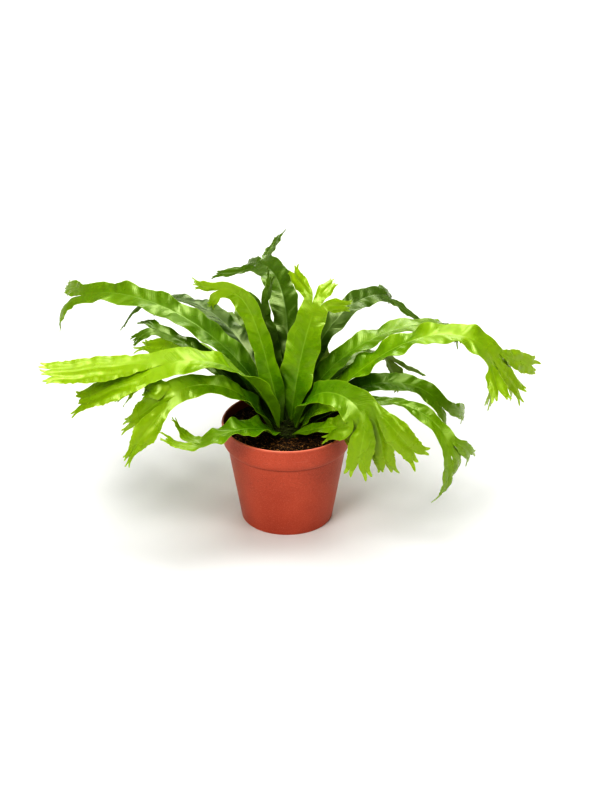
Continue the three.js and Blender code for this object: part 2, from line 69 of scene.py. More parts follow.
# lamps: name, place, width and height in metres, power in watts
SOFTBOXES = [
    ("left_softbox", (-0.9, -1.3, 1.5), 1.0, 1.0, 22),
    ("right_softbox", (1.4, -1.0, 1.1), 0.7, 0.7, 6),
    ("top_softbox", (0.3, 0.4, 1.9), 0.9, 0.9, 12),
    ("back_softbox", (0.3, 1.7, 1.1), 1.4, 0.8, 9),
]
for name, place, wide, high, watts in SOFTBOXES:
    lamp = bpy.data.lights.new(name, "AREA")
    lamp.shape = "RECTANGLE"
    lamp.size = wide
    lamp.size_y = high
    lamp.energy = watts
    holder = bpy.data.objects.new(name, lamp)
    bpy.context.scene.collection.objects.link(holder)
    holder.location = place
    aim = holder.location * -1
    aim.z += AIM_HEIGHT
    holder.rotation_mode = "QUATERNION"
    holder.rotation_quaternion = aim.to_track_quat("-Z", "Y")

# skylight: a sun as wide as an open sky, a little to the back and the right
skylight = bpy.data.lights.new("skylight", "SUN")
skylight.energy = 0.8
skylight.angle = math.radians(60)
high_window = bpy.data.objects.new("skylight", skylight)
bpy.context.scene.collection.objects.link(high_window)
high_window.rotation_euler = (math.radians(-12), math.radians(8), 0)

lens = bpy.data.cameras.new("camera")
lens.lens = 114
lens.clip_start = 0.1
lens.clip_end = 20
camera = bpy.data.objects.new("camera", lens)
bpy.context.scene.collection.objects.link(camera)
camera.location = (-0.0762, -2.0483, 1.1875)
toward = camera.location * -1
toward.x += 0.012
toward.z += 0.118
camera.rotation_mode = "QUATERNION"
camera.rotation_quaternion = toward.to_track_quat("-Z", "Y")
bpy.context.scene.camera = camera

# ---- pot -------------------------------------------------------------------------
# Round nursery pot, injection moulded in terracotta-coloured polypropylene: a tapered
# wall, a collar that bulges outwards to a thin lip, and eight drain slots in its floor.
POT_FACETS = 160
DRAIN_SLOTS = 8
SLOT_RADIUS = 32.9  # mm from the pot's axis to the middle of a slot
SLOT_STRAIGHT = 2.7  # half the length of its straight part
SLOT_ROUND = 1.8  # radius of its round ends
PLUG_LEVELS = (-1, 4)  # the plugs that cut the slots reach through the 2.2 mm floor
# each corner is where two mould faces meet: radius, height and rounding, all in mm
POT_CORNERS = [
    (0, 0, 0), (41.4, 0, 0), (42, 0.6, 0.4), (54.9, 75.4, 0.5), (57, 75.4, 0.8),
    (59.2, 79.4, 3.2), (59.9, 86, 3), (59.7, 94.0, 0.9), (60, 95.2, 0.5),
    (59.6, 97, 0.6), (58, 97, 0.6), (57.4, 94.6, 1.2), (56.6, 79.4, 2), (53.4, 74.4, 1.5),
    (40.4, 2.2, 1.5), (0, 2.2, 0),
]


def rounded(corners, steps=5):
    """Profile with every corner replaced by the curve (1-t)^2 before + 2t(1-t) corner
    + t^2 after, where before and after lie one rounding away along its two edges."""
    xy = np.array(corners, float)[:, :2]
    cut = np.array(corners, float)[:, 2]
    t = np.linspace(0, 1, steps)[:, None]
    out = [xy[:1]]
    for k in range(1, len(xy) - 1):
        back = xy[k - 1] - xy[k]
        on = xy[k + 1] - xy[k]
        before = xy[k] + back / np.hypot(*back) * min(cut[k], np.hypot(*back) * 0.49)
        after = xy[k] + on / np.hypot(*on) * min(cut[k], np.hypot(*on) * 0.49)
        out.append((1 - t) ** 2 * before + 2 * t * (1 - t) * xy[k] + t ** 2 * after)
    out.append(xy[-1:])
    return np.concatenate(out)


def turned(profile, around):
    """Closed body of revolution: x = r cos a, y = r sin a, z = height, for the profile
    points (r, height), whose first and last lie on the axis."""
    a = np.arange(around) * 2 * np.pi / around
    r, z = profile[1:-1, 0, None], profile[1:-1, 1, None]
    body = np.stack([r * np.cos(a), r * np.sin(a), z + 0 * a], -1).reshape(-1, 3)
    rings = len(profile) - 2
    verts = np.concatenate([body, [[0, 0, profile[0, 1]], [0, 0, profile[-1, 1]]]])
    i = np.arange(rings - 1)[:, None] * around
    j = np.arange(around)
    nxt = (j + 1) % around
    quads = np.stack([i + j, i + nxt, i + around + nxt, i + around + j], -1).reshape(-1, 4)
    low, high = rings * around, rings * around + 1
    last = (rings - 1) * around
    foot = np.stack([nxt, j, np.full(around, low)], -1)
    head = np.stack([last + j, last + nxt, np.full(around, high)], -1)
    return verts, [quads, foot, head]


def make_piece(name, verts, face_sets, material, nodes=(), sharp=40):
    """Mesh object from points in mm and arrays of faces, smooth but for edges that turn
    more than sharp degrees; it rides on the plant and stands for the given solids."""
    mesh = bpy.data.meshes.new(name)
    sizes = np.concatenate([np.full(len(s), s.shape[1]) for s in face_sets])
    corners = np.concatenate([s.ravel() for s in face_sets]).astype(np.int32)
    mesh.vertices.add(len(verts))
    mesh.vertices.foreach_set("co", (np.asarray(verts, float) / 1000).ravel())
    mesh.loops.add(len(corners))
    mesh.loops.foreach_set("vertex_index", corners)
    mesh.polygons.add(len(sizes))
    mesh.polygons.foreach_set("loop_start", np.cumsum(sizes) - sizes)
    mesh.polygons.foreach_set("use_smooth", np.ones(len(sizes), bool))
    mesh.update(calc_edges=True)
    mesh.validate()
    mesh.set_sharp_from_angle(angle=math.radians(sharp))
    mesh.materials.append(material)
    piece = bpy.data.objects.new(name, mesh)
    bpy.context.scene.collection.objects.link(piece)
    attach(piece, "root")
    if nodes:
        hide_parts(*nodes)
    return piece


def new_finish(name):
    """Empty surface finish with its shader, and the functions that add nodes to it. Inputs
    go by name or number, and each is a value or the output of another node to link."""
    finish = bpy.data.materials.new(name)
    finish.use_nodes = True
    tree = finish.node_tree
    shader = tree.nodes["Principled BSDF"]

    def add(kind, inputs=(), **settings):
        """New node of that kind, or the shader itself, with its settings and inputs."""
        node = shader if kind == "shader" else tree.nodes.new("ShaderNode" + kind)
        for key, value in settings.items():
            setattr(node, key, value)
        for key, value in dict(inputs).items():
            if isinstance(value, bpy.types.NodeSocket):
                tree.links.new(value, node.inputs[key])
            else:
                node.inputs[key].default_value = value
        return node

    def ramp(source, *stops):
        """Colour ramp over the source; each stop is a place and a grey or a colour."""
        node = add("ValToRGB", {0: source})
        points = node.color_ramp.elements
        while len(points) < len(stops):
            points.new(0.5)
        for point, (at, color) in zip(points, stops):
            point.position = at
            point.color = (*color, 1) if isinstance(color, tuple) else (color,) * 3 + (1,)
        return node.outputs[0]

    def mix(share, low, high):
        """Colour low (1 - share) + high share."""
        return add("Mix", {0: share, 6: low, 7: high}, data_type="RGBA").outputs[2]

    def math_of(operation, *values):
        """Result of one sum on values or outputs."""
        return add("Math", dict(enumerate(values)), operation=operation).outputs[0]

    return finish, add, ramp, mix, math_of


pot_finish, add, ramp, mix, math_of = new_finish("moulded_terracotta_plastic")
where = add("TexCoord").outputs["Object"]
cloud = add("TexNoise", {"Vector": where, "Scale": 24, "Detail": 4}).outputs[0]
grain = add("TexNoise", {"Vector": where, "Scale": 1500, "Detail": 2}).outputs[0]
height = add("SeparateXYZ", {0: where}).outputs[2]
wall = ramp(cloud, (0.3, (0.43, 0.081, 0.038)), (0.7, (0.52, 0.109, 0.053)))
wall = mix(ramp(grain, (0.52, 0.0), (0.7, 0.45)), wall, (0.66, 0.22, 0.14, 1))
# painted light: the band at the top of the lip is painted paler, where the lamps above light it
painted_lip_light = ramp(math_of("MULTIPLY", height, 10), (0.95, 0.0), (0.968, 0.7))
wall = mix(painted_lip_light, wall, (0.78, 0.27, 0.18, 1))
scuff_map = add("Mapping", {"Vector": where, "Scale": (1, 1, 9)}).outputs[0]
scuff = add("TexNoise", {"Vector": scuff_map, "Scale": 90, "Detail": 5}).outputs[0]
wall = mix(ramp(scuff, (0.62, 0.0), (0.78, 0.3)), wall, (0.62, 0.24, 0.17, 1))
dust_noise = add("TexNoise", {"Vector": where, "Scale": 420, "Detail": 3}).outputs[0]
dust_band = ramp(math_of("MULTIPLY", height, 10),
                 (0.3, 0.0), (0.6, 0.12), (0.95, 0.08), (0.97, 0.0))
dust = math_of("MULTIPLY", ramp(dust_noise, (0.55, 0.0), (0.66, 1.0)), dust_band)
wall = mix(dust, wall, (0.06, 0.03, 0.015, 1))
# painted shade: a dark band on the wall just under the collar, where the collar shades it
painted_groove_shade = ramp(math_of("MULTIPLY", height, 10), (0.725, 0.0), (0.751, 0.55), (0.756, 0.0))
wall = mix(painted_groove_shade, wall, (0.12, 0.03, 0.018, 1))
bump = add("Bump", {"Height": grain, "Strength": 0.16, "Distance": 0.0003})
bump = add("Bump", {"Height": scuff, "Strength": 0.1, "Distance": 0.0006,
                    "Normal": bump.outputs[0]})
rough = ramp(cloud, (0.3, 0.34), (0.7, 0.44))
add("shader", {"Base Color": wall, "Roughness": rough, "Normal": bump.outputs[0],
               "Specular IOR Level": 0.55})

verts, faces = turned(rounded(POT_CORNERS), POT_FACETS)
nursery_pot = make_piece("nursery_pot", verts, faces, pot_finish, ["pot"], sharp=50)
# drain slots: short round-ended holes through the floor, each cut by its own plug
end = np.linspace(-np.pi / 2, np.pi / 2, 7)
outward = np.concatenate([SLOT_STRAIGHT + SLOT_ROUND * np.cos(end),
                          -SLOT_STRAIGHT - SLOT_ROUND * np.cos(end)]) + SLOT_RADIUS
sideways = np.concatenate([SLOT_ROUND * np.sin(end), -SLOT_ROUND * np.sin(end)])
turn = ((np.arange(DRAIN_SLOTS) + 0.5) * 2 * np.pi / DRAIN_SLOTS)[:, None]
x = outward * np.cos(turn) - sideways * np.sin(turn)
y = outward * np.sin(turn) + sideways * np.cos(turn)
z = np.array(PLUG_LEVELS)[:, None]
plug_points = np.stack(np.broadcast_arrays(x[:, None], y[:, None], z), -1) / 1000
n = len(outward)
i = np.arange(n)
first = 2 * n * np.arange(DRAIN_SLOTS)[:, None, None]
caps = (first + np.stack([i[::-1], n + i])).reshape(-1, n)
walls = (first + np.stack([i, (i + 1) % n, n + (i + 1) % n, n + i], -1)).reshape(-1, 4)
plugs = bpy.data.meshes.new("drain_plugs")
plugs.from_pydata(plug_points.reshape(-1, 3).tolist(), [], caps.tolist() + walls.tolist())
cutter = bpy.data.objects.new("drain_plugs", plugs)
bpy.context.scene.collection.objects.link(cutter)
cut = nursery_pot.modifiers.new("drain_slots", "BOOLEAN")
cut.operation = "DIFFERENCE"
cut.object = cutter
cut.solver = "EXACT"
bpy.context.view_layer.update()
whole = nursery_pot.evaluated_get(bpy.context.evaluated_depsgraph_get())
drained = bpy.data.meshes.new_from_object(whole)
nursery_pot.modifiers.clear()
nursery_pot.data = drained
drained.name = "nursery_pot"
bpy.data.objects.remove(cutter)
# the many-sided faces of the cut floor are split into sound triangles
floor_faces = bmesh.new()
floor_faces.from_mesh(drained)
many_sided = [face for face in floor_faces.faces if len(face.verts) > 4]
bmesh.ops.triangulate(floor_faces, faces=many_sided, ngon_method="BEAUTY")
bmesh.ops.dissolve_degenerate(floor_faces, edges=floor_faces.edges, dist=1e-6)
floor_faces.to_mesh(drained)
floor_faces.free()

# ---- soil ------------------------------------------------------------------------
# Moist peat and coir potting mix, filled to just under the lip: a crumbly top, with
# bark chips and coir fibres lying on it, round the crown of the plant.
SOIL_LEVEL = 89  # mm over the table
CLEAR_RADIUS = 20  # the soil is level and bare within it, round the crown
CRUMB_RADIUS = 55.5  # the crumbs flatten out towards it, by the wall of the pot
CRUMBS = 1500
CHIPS = 1100
FIBRES = 320


def crumb_height(x, y, crumbs):
    """Height of the soil over its level: low waves about 20, 6 and 2 mm long, and on them
    the highest of the round crumbs, 0.75 a sqrt(1 - (d/a)^2) at the distance d from the
    centre of a crumb of radius a."""
    r = np.hypot(x, y)
    inside = np.clip((r - CLEAR_RADIUS) / 5, 0, 1) * np.clip((CRUMB_RADIUS - r) / 4, 0.15, 1)
    coarse = np.sin(0.31 * x + 1.1) * np.sin(0.27 * y + 0.4)
    medium = np.sin(0.83 * x - 0.61 * y) * np.sin(0.74 * y + 0.52 * x + 2)
    fine = np.sin(2.3 * x + 1.7 * y) * np.sin(2.1 * y - 1.4 * x + 1)
    waves = 1.5 * (0.45 * coarse + 0.35 * medium + 0.2 * fine)
    top = np.zeros_like(x)
    for cx, cy, a in crumbs:
        dome = np.clip(1 - ((x - cx) ** 2 + (y - cy) ** 2) / a ** 2, 0, 1)
        top = np.maximum(top, 0.75 * a * np.sqrt(dome))
    return inside * (waves + top - 0.4)


rng = np.random.default_rng(7)
reach = np.sqrt(rng.uniform(CLEAR_RADIUS ** 2, 55 ** 2, CRUMBS))
turn = rng.uniform(0, 2 * np.pi, CRUMBS)
size = 0.6 + 1.7 * rng.random(CRUMBS) ** 3
crumbs = np.stack([reach * np.cos(turn), reach * np.sin(turn), size], 1)
soil_profile = np.concatenate([
    [[0, 2.5], [39.6, 2.5], [52.9, 74.4], [55.6, 79.8], [56.1, 87.6]],
    np.stack([np.linspace(56.2, 19.5, 76), np.full(76, float(SOIL_LEVEL))], 1),
    [[18.6, 88.4], [18.6, 77.4], [0, 77.4]],
])
verts, faces = turned(soil_profile, 330)
top = verts[:, 2] > SOIL_LEVEL - 0.01
verts[top, 2] += crumb_height(verts[top, 0], verts[top, 1], crumbs)

soil_finish, add, ramp, mix, math_of = new_finish("peat_and_coir")
where = add("TexCoord").outputs["Object"]
clod = add("TexNoise", {"Vector": where, "Scale": 170, "Detail": 6, "Roughness": 0.7}).outputs[0]
speck = add("TexNoise", {"Vector": where, "Scale": 1100, "Detail": 3}).outputs[0]
cells = add("TexVoronoi", {"Vector": where, "Scale": 620}).outputs["Color"]
cell = add("SeparateColor", {0: cells}).outputs[0]
earth = ramp(clod, (0.3, (0.006, 0.003, 0.002)), (0.55, (0.026, 0.011, 0.005)),
             (0.75, (0.075, 0.034, 0.014)))
earth = mix(ramp(cell, (0.88, 0.0), (0.9, 0.9)), earth, (0.36, 0.19, 0.06, 1))
earth = mix(ramp(speck, (0.6, 0.0), (0.7, 0.6)), earth, (0.3, 0.17, 0.06, 1))
bump = add("Bump", {"Height": clod, "Strength": 0.9, "Distance": 0.0012})
bump = add("Bump", {"Height": speck, "Strength": 0.7, "Distance": 0.0005,
                    "Normal": bump.outputs[0]})
rough = ramp(clod, (0.3, 0.62), (0.7, 0.95))
add("shader", {"Base Color": earth, "Roughness": rough, "Normal": bump.outputs[0],
               "Specular IOR Level": 0.35})
make_piece("potting_soil", verts, faces, soil_finish, ["soil"], sharp=60)

# bark chips: a twelve-pointed lump, pulled to its own length, width and tilt
golden = (1 + 5 ** 0.5) / 2
lump = np.array([(-1, golden, 0), (1, golden, 0), (-1, -golden, 0), (1, -golden, 0),
                 (0, -1, golden), (0, 1, golden), (0, -1, -golden), (0, 1, -golden),
                 (golden, 0, -1), (golden, 0, 1), (-golden, 0, -1), (-golden, 0, 1)]) / 1.9
lump_faces = np.array([(0, 11, 5), (0, 5, 1), (0, 1, 7), (0, 7, 10), (0, 10, 11),
                       (1, 5, 9), (5, 11, 4), (11, 10, 2), (10, 7, 6), (7, 1, 8),
                       (3, 9, 4), (3, 4, 2), (3, 2, 6), (3, 6, 8), (3, 8, 9),
                       (4, 9, 5), (2, 4, 11), (6, 2, 10), (8, 6, 7), (9, 8, 1)])


def turned_about(points, angles):
    """Points (n, k, 3) turned about X, then about Z, by angles (n, 2) in radians."""
    c, s = np.cos(angles), np.sin(angles)
    x, y, z = points[..., 0], points[..., 1], points[..., 2]
    y, z = y * c[:, :1] - z * s[:, :1], y * s[:, :1] + z * c[:, :1]
    x, y = x * c[:, 1:] - y * s[:, 1:], x * s[:, 1:] + y * c[:, 1:]
    return np.stack([x, y, z], -1)


shape = np.stack([rng.uniform(0.5, 2.1, CHIPS) ** 1.2, rng.uniform(0.35, 0.9, CHIPS),
                  rng.uniform(0.2, 0.5, CHIPS)], 1)
chips = lump[None] * (1 + 0.35 * rng.uniform(-1, 1, (CHIPS, 12, 1))) * shape[:, None]
tumble = np.stack([rng.uniform(-0.7, 0.7, CHIPS), rng.uniform(0, 6.28, CHIPS)], 1)
chips = turned_about(chips, tumble)
reach = np.sqrt(rng.uniform(CLEAR_RADIUS ** 2, 54.5 ** 2, CHIPS))
turn = rng.uniform(0, 2 * np.pi, CHIPS)
x, y = reach * np.cos(turn), reach * np.sin(turn)
z = SOIL_LEVEL + crumb_height(x, y, crumbs) + 0.1
chips += np.stack([x, y, z], 1)[:, None]
chip_faces = (lump_faces[None] + 12 * np.arange(CHIPS)[:, None, None]).reshape(-1, 3)
chip_shade = np.repeat(rng.random(CHIPS), 12)

# coir fibres: a thin three-sided rod along a shallow arc that lies on the crumbs
steps = np.linspace(-1, 1, 8)
long = rng.uniform(2.5, 8, FIBRES)[:, None]
bow = rng.uniform(-1.6, 1.6, FIBRES)[:, None]
line = np.stack([long * steps, bow * (1 - steps ** 2), 0 * long * steps], -1)
line = turned_about(line, np.stack([0 * long[:, 0], rng.uniform(0, 6.28, FIBRES)], 1))
reach = np.sqrt(rng.uniform(21 ** 2, 47 ** 2, FIBRES))
turn = rng.uniform(0, 2 * np.pi, FIBRES)
line[..., 0] += (reach * np.cos(turn))[:, None]
line[..., 1] += (reach * np.sin(turn))[:, None]
line[..., 2] = SOIL_LEVEL + 0.35 + crumb_height(line[..., 0], line[..., 1], crumbs)
line[:, 1:-1, 2] = np.maximum(line[:, 1:-1, 2], (line[:, 2:, 2] + line[:, :-2, 2]) / 2)
around = np.arange(3) * 2 * np.pi / 3
thin = (0.13 * np.sqrt(1 - 0.9 * steps ** 2))[None, :, None]
ring = np.stack([0 * around, np.cos(around), np.sin(around)], -1)
heading = np.arctan2(line[:, -1, 1] - line[:, 0, 1], line[:, -1, 0] - line[:, 0, 0])
ring = turned_about(np.repeat(ring[None], FIBRES, 0), np.stack([0 * heading, heading], 1))
rods = line[:, :, None] + ring[:, None] * thin[..., None]
k = np.arange(7)[:, None] * 3
j = np.arange(3)
rod_faces = np.stack([k + j, k + (j + 1) % 3, k + 3 + (j + 1) % 3, k + 3 + j], -1).reshape(-1, 4)
rod_faces = (rod_faces[None] + 24 * np.arange(FIBRES)[:, None, None]).reshape(-1, 4)
cap_faces = np.array([(2, 1, 0), (21, 22, 23)])
cap_faces = (cap_faces[None] + 24 * np.arange(FIBRES)[:, None, None]).reshape(-1, 3)
shift = len(chip_shade)

litter_finish, add, ramp, mix, math_of = new_finish("bark_and_coir_bits")
shade = add("Attribute", attribute_name="shade").outputs["Fac"]
where = add("TexCoord").outputs["Object"]
grain = add("TexNoise", {"Vector": where, "Scale": 900, "Detail": 4}).outputs[0]
bark = ramp(shade, (0.0, (0.01, 0.005, 0.003)), (0.6, (0.04, 0.017, 0.008)),
            (0.8, (0.17, 0.075, 0.024)), (1.0, (0.5, 0.3, 0.1)))
bark = mix(ramp(grain, (0.35, 0.5), (0.65, 0.0)), bark, (0.02, 0.01, 0.005, 1))
bump = add("Bump", {"Height": grain, "Strength": 0.6, "Distance": 0.0003})
add("shader", {"Base Color": bark, "Roughness": 0.85, "Normal": bump.outputs[0]})
soil_bits = make_piece(
    "soil_bits", np.concatenate([chips.reshape(-1, 3), rods.reshape(-1, 3)]),
    [chip_faces, rod_faces + shift, cap_faces + shift], litter_finish, sharp=30)
shades = np.concatenate([chip_shade, np.repeat(rng.uniform(0.7, 1, FIBRES), 24)])
soil_bits.data.attributes.new("shade", "FLOAT", "POINT").data.foreach_set("value", shades)

# ---- crown -----------------------------------------------------------------------
# The short upright rhizome that carries every frond: a woody dome half sunk in the soil,
# clothed in narrow papery scales, brown and green, that point outwards.
CROWN_RADIUS = 18
CROWN_TOP = 6.5  # mm over the soil
CROWN_FALL = 0.018  # how fast the dome falls away, 1/mm
SCALES = 300
GOLDEN_TURN = 2.39996  # radians from one scale to the next, so that they fill the dome


def crown_height(r):
    """Height of the dome over the soil at radius r: its top less its fall times r^2."""
    return CROWN_TOP - CROWN_FALL * np.asarray(r, float) ** 2


dome = np.linspace(CROWN_RADIUS, 0, 19)
crown_profile = np.concatenate([
    [[0, 78], [CROWN_RADIUS - 2, 78], [CROWN_RADIUS, 80]],
    np.stack([dome, SOIL_LEVEL + crown_height(dome)], 1),
])
verts, faces = turned(crown_profile, 72)
knot = np.sin(1.9 * verts[:, 0] + 0.7 * verts[:, 2]) * np.sin(1.6 * verts[:, 1] + 1)
on_top = (verts[:, 2] > 84) & (np.hypot(verts[:, 0], verts[:, 1]) < 17.5)
verts[:, 2] += np.where(on_top, 0.45 * knot, 0)

crown_finish, add, ramp, mix, math_of = new_finish("rhizome_and_scales")
where = add("TexCoord").outputs["Object"]
shade = add("Attribute", attribute_name="shade").outputs["Fac"]
fibre_map = add("Mapping", {"Vector": where, "Scale": (1, 1, 0.2)}).outputs[0]
fibre = add("TexNoise", {"Vector": fibre_map, "Scale": 700, "Detail": 4}).outputs[0]
husk = ramp(shade, (0.0, (0.038, 0.044, 0.007)), (0.5, (0.08, 0.12, 0.013)),
            (0.8, (0.12, 0.22, 0.014)), (1.0, (0.3, 0.25, 0.07)))
husk = mix(ramp(fibre, (0.4, 0.4), (0.62, 0.0)), husk, (0.035, 0.016, 0.009, 1))
bump = add("Bump", {"Height": fibre, "Strength": 0.7, "Distance": 0.0004})
add("shader", {"Base Color": husk, "Roughness": 0.72, "Normal": bump.outputs[0]})

# scales: flat spindles 2.6 to 5.2 mm long with the half width w sin(pi (0.12 + 0.88 t)^0.75)
# at the share t of their length, curled up or down, and flatter round the edge
k = np.arange(SCALES)
reach = (CROWN_RADIUS + 0.4) * np.sqrt((k + 0.5) / SCALES)
turn = k * GOLDEN_TURN
length = 2.6 + 2.6 * rng.random(SCALES)
wide = 0.55 + 0.45 * rng.random(SCALES)
tilt = np.radians(np.where(reach > 14, 4, 30) + 22 * rng.uniform(-1, 1, SCALES))
t = np.linspace(0, 1, 7)
curl = tilt[:, None] + np.radians(28 * rng.uniform(-1, 1, SCALES))[:, None] * t
out = np.cumsum(np.cos(curl), 1) / 7 * length[:, None]
up = np.cumsum(np.sin(curl), 1) / 7 * length[:, None]
half = wide[:, None] * np.sin(np.pi * (0.12 + 0.88 * t) ** 0.75) + 0.04
side = np.array([1, 0, -1, 0])
lens_up = np.array([0, 0.16, 0, -0.16])
sx = out[..., None] + 0 * side
sy = half[..., None] * side
sz = up[..., None] + lens_up * np.minimum(half, 0.6)[..., None]
c, s = np.cos(turn)[:, None, None], np.sin(turn)[:, None, None]
foot_r = reach[:, None, None]
scales = np.stack([(foot_r + sx) * c - sy * s, (foot_r + sx) * s + sy * c,
                   SOIL_LEVEL + crown_height(foot_r) - 0.5 + sz], -1)
i = np.arange(6)[:, None] * 4
j = np.arange(4)
scale_faces = np.stack([i + j, i + 4 + j, i + 4 + (j + 1) % 4, i + (j + 1) % 4], -1).reshape(-1, 4)
scale_faces = np.concatenate([scale_faces, [(0, 1, 2, 3), (27, 26, 25, 24)]])
scale_faces = (scale_faces[None] + 28 * k[:, None, None]).reshape(-1, 4) + len(verts)
crown_shade = np.concatenate([np.full(len(verts), 0.25), np.repeat(rng.random(SCALES), 28)])
scaly_crown = make_piece("scaly_crown", np.concatenate([verts, scales.reshape(-1, 3)]),
                         faces + [scale_faces], crown_finish, ["crown"], sharp=60)
scaly_crown.data.attributes.new("shade", "FLOAT", "POINT").data.foreach_set("value", crown_shade)

# ---- young fronds ----------------------------------------------------------------
# Undivided strap-shaped leaves, each grown out of the crown on its own short stalk. A
# raised midrib runs up the blade, which forks at its tip into lobes with ragged points.
# These are this season's, bright yellow-green.

# One row for each frond, in mm and degrees.
# ring, seat: radius and direction of its stalk on the crown
# heading, sweep: direction it grows in and how far that turns towards the tip
# rise, droop, bend: steepness at the stalk and at the crest, and how late it bends over
# roll, twist: lean of the blade about its midrib, all along and added towards the crest
# full: share of the length after which the blade has its full width, neck: share of the
# width left below the crest; waves, ruffle, phase: number, height and start of the waves
# lobes, teeth: lobes in the crest and points on each; crest, broad: length and width of
# a lobe; taper: how much narrower it ends; tooth: length of a point; spread, lean: angle
# the crest fans over and where it aims; fall: how far lobes bend down; frill: how
# unevenly; skew: longer lobes on one side
COMMON = dict(bend=1.5, full=0.3, neck=0.8, waves=4, ruffle=2, phase=0, cup=22, lobes=2,
              teeth=3, fan=30, fall=30, frill=25, lean=0, skew=0, roll=0, twist=0, tooth=7,
              taper=0.3)
YOUNG = {
    # upright, its tip turning over to the left
    "frond_01": dict(ring=4, seat=175, heading=140, sweep=30, rise=74, droop=-19, bend=7.2,
            length=149, width=20, roll=-74, twist=-7, full=0.24, neck=0.75, waves=3, ruffle=1.5,
            crest=16, broad=10, tooth=6, spread=60, lean=10, fall=27, seed=1),
    # upright and broad, beside the first
    "frond_02": dict(ring=4, seat=30, heading=38, sweep=-9, rise=81, droop=66, bend=1.8, length=115,
            width=32, roll=35, full=0.4, waves=2.5, ruffle=2.2, lobes=3, teeth=2, crest=31,
            broad=14, tooth=8, spread=130, lean=-3, fall=52, skew=0.3, taper=0.2, seed=2),
    # broad, bending over to the left
    "frond_06": dict(ring=9, seat=218, heading=208, sweep=-24, rise=72, droop=-15, bend=1.5,
            length=151, width=31, roll=23, twist=-60, full=0.28, neck=0.9, waves=3, crest=89,
            broad=28, tooth=11, spread=10, lean=-1, fall=2, fan=34, skew=-0.16, taper=0.2,
            seed=287),
    # long, to the right, with the largest fan
    "frond_11": dict(ring=9, seat=0, heading=6, sweep=-12, rise=43, droop=-57, bend=3.2, length=214,
            width=27, roll=6, twist=11, full=0.28, neck=1.32, waves=6, ruffle=2.8, lobes=5, teeth=2,
            crest=47, broad=22, tooth=13, spread=80, lean=3, fall=17, frill=35, fan=31, skew=0.36,
            taper=0.1, seed=2),
    # front right, its crest falling in all directions
    "frond_12": dict(ring=10, seat=-38, heading=-50, sweep=13, rise=74, droop=-43, bend=1.6,
            length=108, width=25, roll=23, twist=38, full=0.28, neck=1.39, waves=2.5, lobes=5,
            teeth=2, crest=43, broad=24, tooth=14, spread=125, lean=-59, fall=35, frill=26, fan=38,
            skew=0.6, taper=0.1, seed=163),
    # low, to the left, crest hanging
    "frond_13": dict(ring=14, seat=207, heading=210, sweep=-16, rise=61, droop=-22, bend=1.8,
            length=127, width=19, roll=-29, twist=-21, full=0.24, neck=1.23, waves=3, lobes=3,
            teeth=2, crest=44, broad=22, tooth=10, spread=50, lean=-2, fall=27, frill=32, fan=22,
            skew=0.6, taper=0.6, seed=267),
    # low, to the left, broad crest
    "frond_14": dict(ring=14, seat=170, heading=151, sweep=-10, rise=56, droop=-17, bend=1.6,
            length=118, width=25, roll=-15, twist=3, full=0.32, neck=1.15, waves=3, lobes=3,
            teeth=2, crest=62, broad=25, tooth=10, spread=100, lean=45, fall=27, skew=0.2,
            taper=0.35, seed=8),
    # front left, over the rim of the pot
    "frond_15": dict(ring=14, seat=238, heading=232, sweep=-35, rise=34, droop=-22, bend=1.8,
            length=92, width=27, roll=-19, twist=30, full=0.24, neck=0.93, waves=3, ruffle=3,
            crest=32, broad=14, tooth=8, spread=35, lean=-31, fall=-71, frill=18, fan=22,
            skew=-0.03, taper=0.37, seed=280),
    # still small, front right
    "frond_16": dict(ring=14, seat=-73, heading=-30, sweep=3, rise=26, droop=2, bend=2.2, length=73,
            width=15, roll=27, twist=2, full=0.32, waves=2, crest=6, broad=5, tooth=3, spread=40,
            lean=4, fall=28, seed=10),
    # still small, beside it
    "frond_17": dict(ring=14, seat=-30, heading=-22, sweep=1, rise=65, droop=-4, bend=1.5,
            length=64, width=19, roll=25, twist=11, full=0.32, waves=2, crest=3, broad=7, tooth=4,
            spread=60, lean=1, fall=35, seed=11),
}


def draw(i, seed):
    """Seeded draw between -1 and 1: the fraction of 43758.5453 sin(12.9898 i + 78.233 seed)."""
    return 2 * np.mod(np.sin(i * 12.9898 + seed * 78.233) * 43758.5453, 1.0) - 1


def ease(x):
    """Quarter sine from 0 to 1."""
    return np.sin(np.pi / 2 * np.clip(x, 0, 1))


def step_up(x):
    """Smooth step from 0 to 1, 3x^2 - 2x^3."""
    x = np.clip(x, 0, 1)
    return x * x * (3 - 2 * x)


def turn_pair(a, b, angle):
    """Two axes turned in their own plane: a cos + b sin, and b cos - a sin."""
    c, s = np.cos(angle)[..., None], np.sin(angle)[..., None]
    return a * c + b * s, b * c - a * s


def midrib_axes(f, u):
    """Axes at the share u of the midrib. Its steepness is rise + (droop - rise) u^bend and
    its direction heading + sweep u^1.5; the blade leans by roll and twist u^2 about it."""
    up = np.radians(f["rise"] + (f["droop"] - f["rise"]) * u ** f["bend"])
    way = np.radians(f["heading"] + f["sweep"] * u ** 1.5)
    along = np.stack([np.cos(up) * np.cos(way), np.cos(up) * np.sin(way), np.sin(up)], -1)
    across = np.stack([-np.sin(way), np.cos(way), 0 * way], -1)
    upper = np.cross(along, across)
    lean = np.radians(f["roll"] * ease(u / 0.5) + f["twist"] * u ** 2)
    across, upper = turn_pair(across, upper, lean)
    return along, across, upper


def midrib_path(f, u):
    """Midrib from its seat on the crown: the running sum of its direction over its length."""
    s = np.linspace(0, 1, 161)
    way = midrib_axes(f, s)[0]
    run = np.zeros((161, 3))
    run[1:] = np.cumsum((way[1:] + way[:-1]) / 2, 0) * f["length"] / 160
    seat = math.radians(f["seat"])
    foot = SOIL_LEVEL + crown_height(f["ring"]) - 2
    run += np.array([f["ring"] * math.cos(seat), f["ring"] * math.sin(seat), float(foot)])
    return np.stack([np.interp(u, s, run[:, k]) for k in range(3)], -1)


